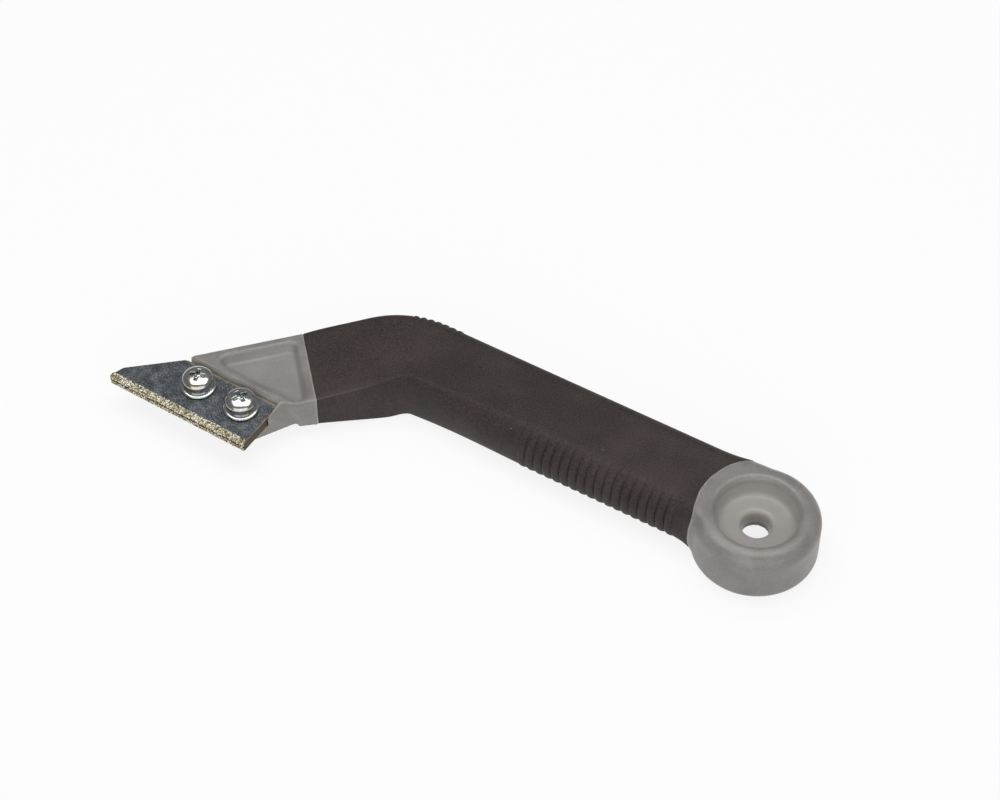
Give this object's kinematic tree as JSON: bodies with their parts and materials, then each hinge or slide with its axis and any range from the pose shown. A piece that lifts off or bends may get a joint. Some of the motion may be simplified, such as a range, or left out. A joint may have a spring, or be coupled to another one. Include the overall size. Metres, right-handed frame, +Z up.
{
  "type": "grout rake",
  "caption": "Cranked hand grout rake: grey plastic core with dished hanging hole, soft ribbed grip, and stacked grit-edged steel blades held by pan head screws and washers",
  "frame": {"origin": "on the axis of the hanging hole, midway through the thickness of the handle", "axes": "+X along the straight handle from the round end towards the bend, +Y to the finger side and the cutting edges, +Z up out of the flat side that the screws enter"},
  "size_m": [0.2135, 0.0718, 0.018],
  "materials": {
    "core_plastic": "satin moulded",
    "grip_rubber": "matte fine grain",
    "blade_steel": "zinc plated, mottled",
    "grit": "coarse brazed grit",
    "insert_brass": "turned",
    "zinc": "bright zinc plated"
  },
  "bodies": {
    "rake": {"handle_core": "core_plastic", "grip_sleeve": "grip_rubber", "lower_blade": "blade_steel", "upper_blade": "blade_steel", "lower_grit_edge": "grit", "upper_grit_edge": "grit", "front_insert": "insert_brass", "rear_insert": "insert_brass"},
    "front_washers": {"front_flat_washer": "zinc", "front_spring_washer": "zinc"},
    "front_screw_body": {"front_screw": "zinc"},
    "rear_washers": {"rear_flat_washer": "zinc", "rear_spring_washer": "zinc"},
    "rear_screw_body": {"rear_screw": "zinc"}
  },
  "joints": [
    {"name": "front_screw_lift", "type": "slide", "parent": "rake", "child": "front_washers", "axis": [0, 0, 1], "range_m": [0, 0.0088]},
    {"name": "front_screw_turn", "type": "hinge", "parent": "front_washers", "child": "front_screw_body", "pos_m": [0.16904, 0.04052, 0.0054], "axis": [0, 0, 1], "range_deg": [0, 3960]},
    {"name": "rear_screw_lift", "type": "slide", "parent": "rake", "child": "rear_washers", "axis": [0, 0, 1], "range_m": [0, 0.0088]},
    {"name": "rear_screw_turn", "type": "hinge", "parent": "rear_washers", "child": "rear_screw_body", "pos_m": [0.15304, 0.04093, 0.0054], "axis": [0, 0, 1], "range_deg": [0, 3960]}
  ],
  "couplings": [
    {"joint": "front_screw_turn", "follows": "front_screw_lift", "rad_per_m": 7854},
    {"joint": "rear_screw_turn", "follows": "rear_screw_lift", "rad_per_m": 7854}
  ]
}
